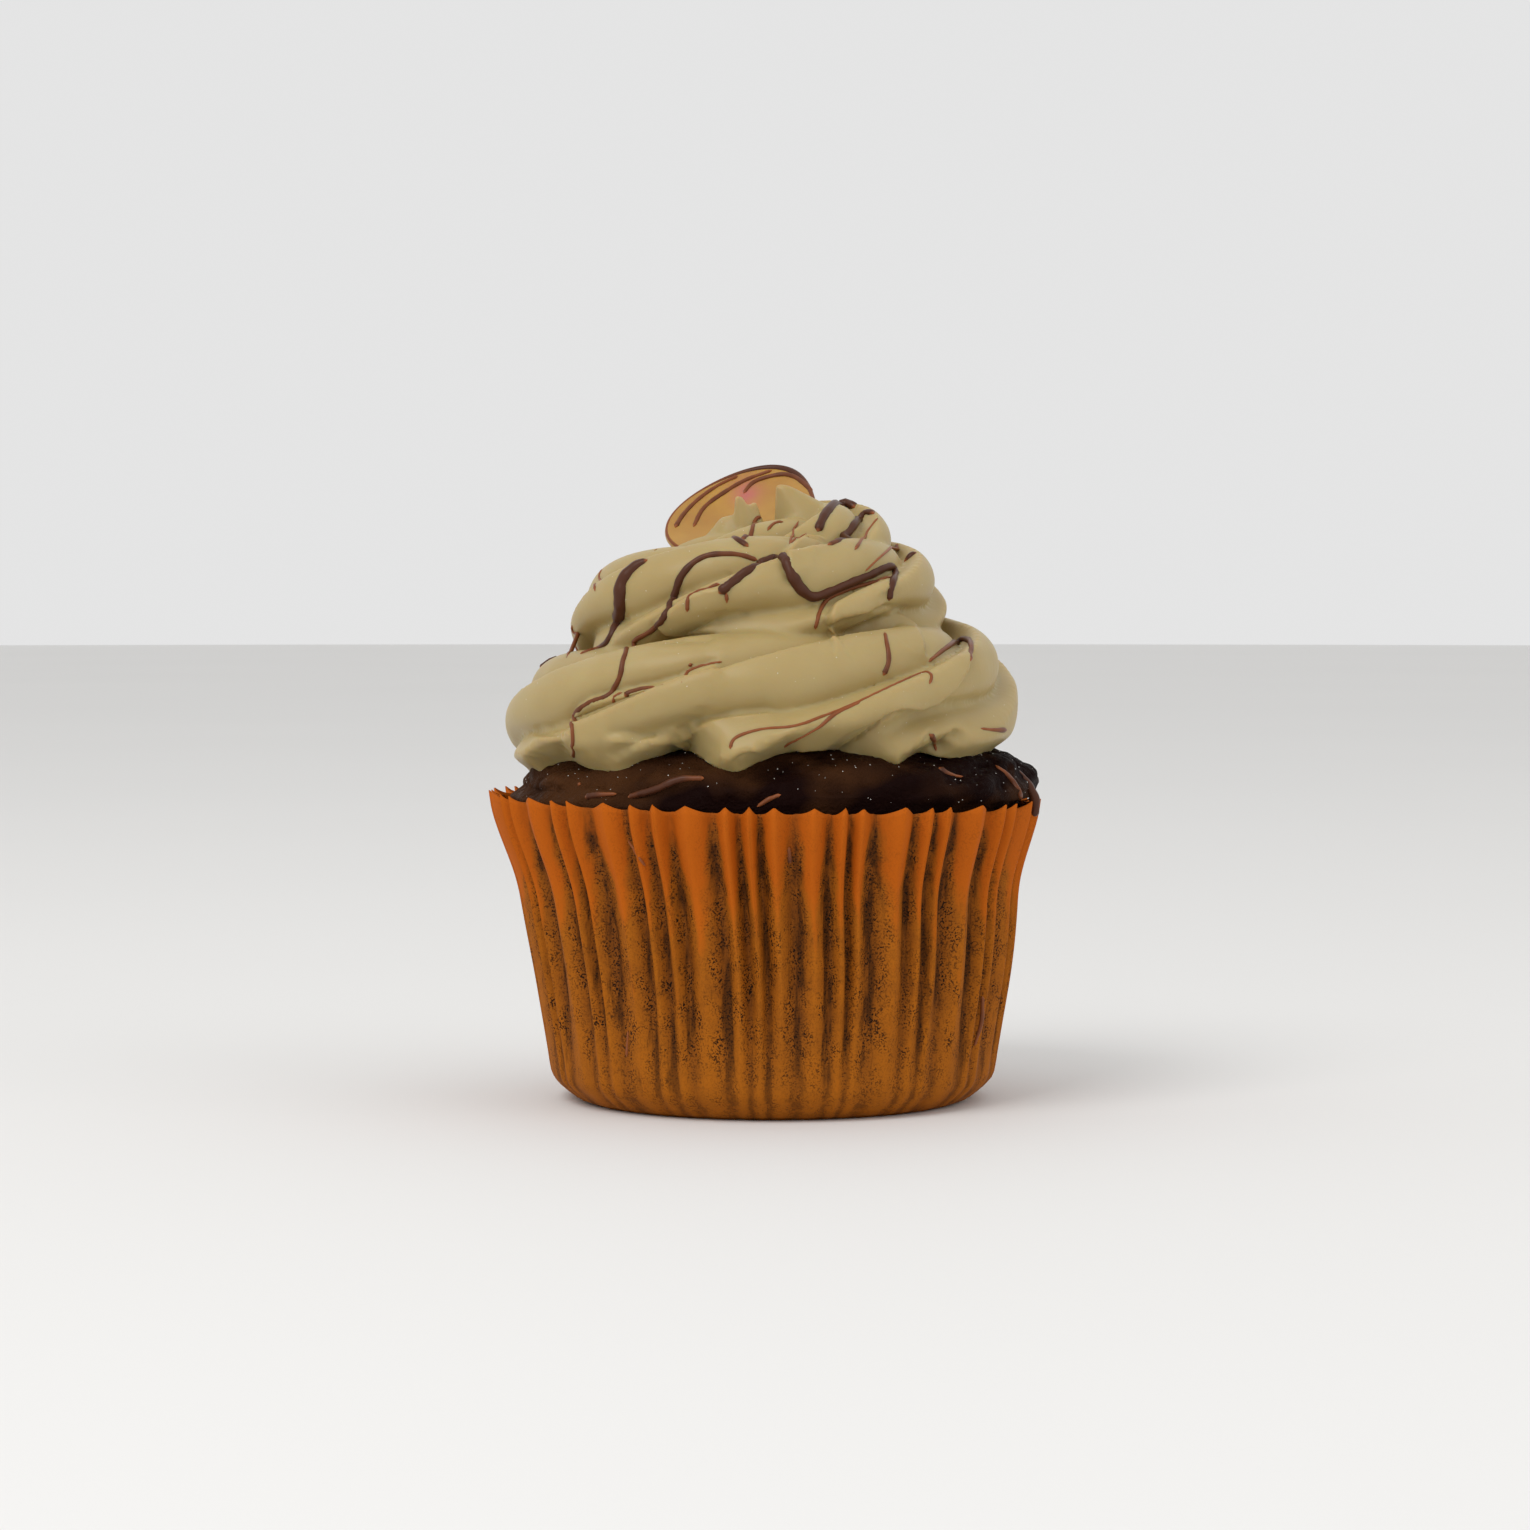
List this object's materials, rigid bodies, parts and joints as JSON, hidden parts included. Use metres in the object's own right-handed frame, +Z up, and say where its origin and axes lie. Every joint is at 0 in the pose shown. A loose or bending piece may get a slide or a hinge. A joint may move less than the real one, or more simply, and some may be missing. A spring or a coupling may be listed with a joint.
{
  "type": "cupcake",
  "caption": "Chocolate cupcake in a pleated orange paper case, with a piped buttercream swirl, drizzled chocolate and a caramel disc leaning behind the peak.",
  "frame": {"origin": "bottom centre of the paper case, on the surface that the cupcake stands on", "axes": "+Z up, front of the cupcake towards -Y, +X to the right seen from the front"},
  "size_m": [0.0698, 0.07, 0.0801],
  "materials": {
    "case_paper": "orange greaseproof paper, pleated, with grease and crumb stains",
    "chocolate_sponge": "dark moist chocolate sponge with a slightly glossy crust",
    "buttercream": "smooth soft buttercream, satin",
    "caramel": "glossy amber caramel disc with chocolate stripes",
    "drizzled_chocolate": "set milk chocolate, satin gloss"
  },
  "bodies": {
    "root": {"paper_case": "case_paper", "cake": "chocolate_sponge", "buttercream": "buttercream", "caramel_disc": "caramel"}
  },
  "joints": []
}
